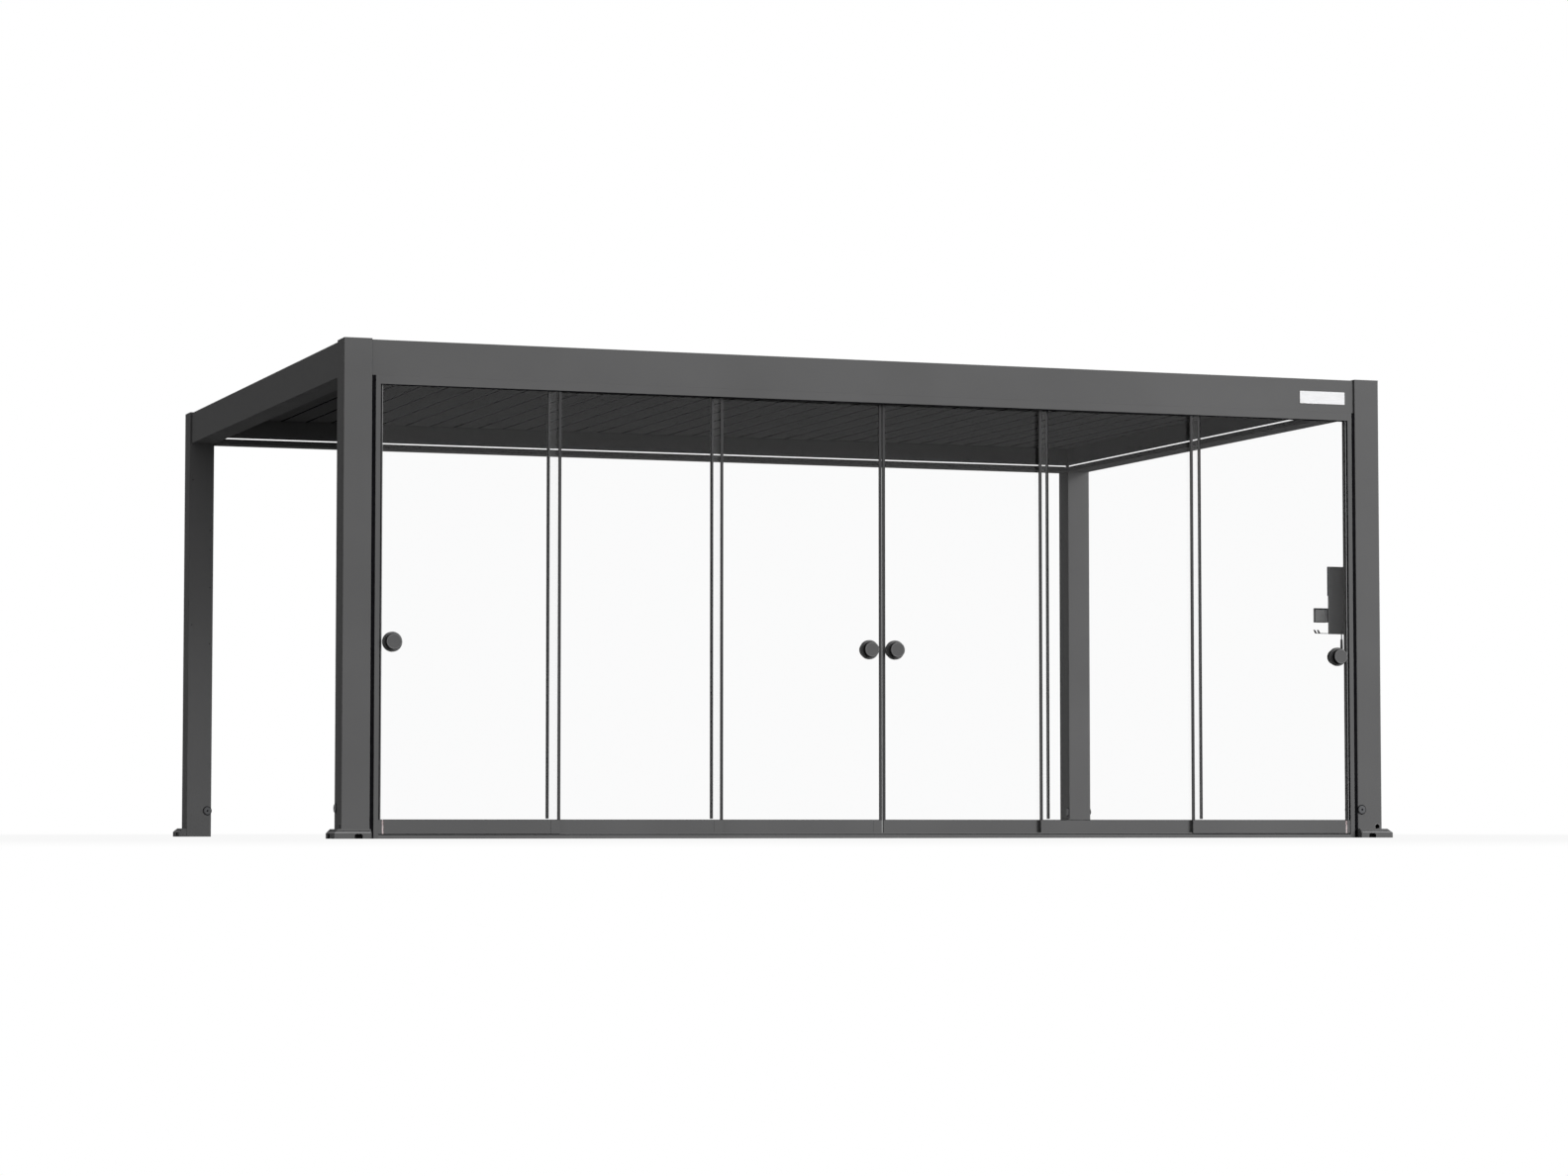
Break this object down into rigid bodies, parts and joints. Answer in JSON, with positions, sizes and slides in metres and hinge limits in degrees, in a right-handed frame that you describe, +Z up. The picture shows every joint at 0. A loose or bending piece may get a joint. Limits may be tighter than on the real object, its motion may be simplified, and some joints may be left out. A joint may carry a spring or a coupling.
{
  "type": "louvred patio frame with telescoping sliding glass door",
  "caption": "Free-standing louvred patio frame on corner posts, its front bay closed by a telescoping sliding glass door on floor and head tracks.",
  "frame": {"origin": "centre of the plan on the ground", "axes": "+X along the front from left to right, +Y from the glass front to the rear, +Z up"},
  "size_m": [6.09, 4.24, 2.59],
  "materials": {
    "frame_paint": "satin powder coat, anthracite grey",
    "roof_paint": "matt powder coat, anthracite grey",
    "track_paint": "satin powder coat, grey",
    "rail_paint": "satin powder coat, anthracite grey",
    "strip_paint": "satin dark grey",
    "knob_paint": "satin dark grey",
    "box_paint": "satin dark grey",
    "leaf_glass": "clear toughened glass",
    "light_diffuser": "milky light strip",
    "seal_rubber": "matt black rubber",
    "brush_pile": "pale pile brush",
    "bolt_steel": "dark grey domed cover on steel",
    "plate_metal": "brushed silver plate"
  },
  "bodies": {
    "frame": {"beam_front": "frame_paint", "beam_left": "frame_paint", "beam_rear": "frame_paint", "beam_right": "frame_paint", "control_box": "box_paint", "control_box_cup": "box_paint", "control_box_hooks": "box_paint", "control_box_rod": "box_paint", "door_bottom_track": "track_paint", "door_bottom_track_ribs": "track_paint", "door_jamb_left": "frame_paint", "door_jamb_right": "frame_paint", "door_top_track": "frame_paint", "door_top_track_walls": "frame_paint", "foot_bolts": "bolt_steel", "foot_brackets": "frame_paint", "foot_covers": "frame_paint", "front_plate": "plate_metal", "gutters": "frame_paint", "jamb_seals": "seal_rubber", "leaf_1_bottom_rail": "rail_paint", "leaf_1_edge_strips": "strip_paint", "leaf_1_glass": "leaf_glass", "leaf_1_knob": "knob_paint", "leaf_1_rail_brush": "brush_pile", "leaf_6_bottom_rail": "rail_paint", "leaf_6_edge_strips": "strip_paint", "leaf_6_glass": "leaf_glass", "leaf_6_knob": "knob_paint", "leaf_6_rail_brush": "brush_pile", "led_strips": "light_diffuser", "post_caps": "frame_paint", "post_front_left": "frame_paint", "post_front_right": "frame_paint", "post_rear_left": "frame_paint", "post_rear_right": "frame_paint", "roof_flashings": "roof_paint", "roof_louvres": "roof_paint", "roof_trims": "roof_paint"},
    "leaf_2": {"leaf_2_bottom_rail": "rail_paint", "leaf_2_edge_strips": "strip_paint", "leaf_2_glass": "leaf_glass"},
    "leaf_3": {"leaf_3_bottom_rail": "rail_paint", "leaf_3_edge_strips": "strip_paint", "leaf_3_glass": "leaf_glass", "leaf_3_knob": "knob_paint"},
    "leaf_4": {"leaf_4_bottom_rail": "rail_paint", "leaf_4_edge_strips": "strip_paint", "leaf_4_glass": "leaf_glass", "leaf_4_knob": "knob_paint"},
    "leaf_5": {"leaf_5_bottom_rail": "rail_paint", "leaf_5_edge_strips": "strip_paint", "leaf_5_glass": "leaf_glass"}
  },
  "joints": [
    {"name": "leaf_2_slide", "type": "slide", "parent": "frame", "child": "leaf_2", "axis": [-1, 0, 0], "range_m": [0, 0.775]},
    {"name": "leaf_3_slide", "type": "slide", "parent": "leaf_2", "child": "leaf_3", "axis": [-1, 0, 0], "range_m": [0, 0.775]},
    {"name": "leaf_5_slide", "type": "slide", "parent": "frame", "child": "leaf_5", "axis": [1, 0, 0], "range_m": [0, 0.775]},
    {"name": "leaf_4_slide", "type": "slide", "parent": "leaf_5", "child": "leaf_4", "axis": [1, 0, 0], "range_m": [0, 0.775]}
  ]
}
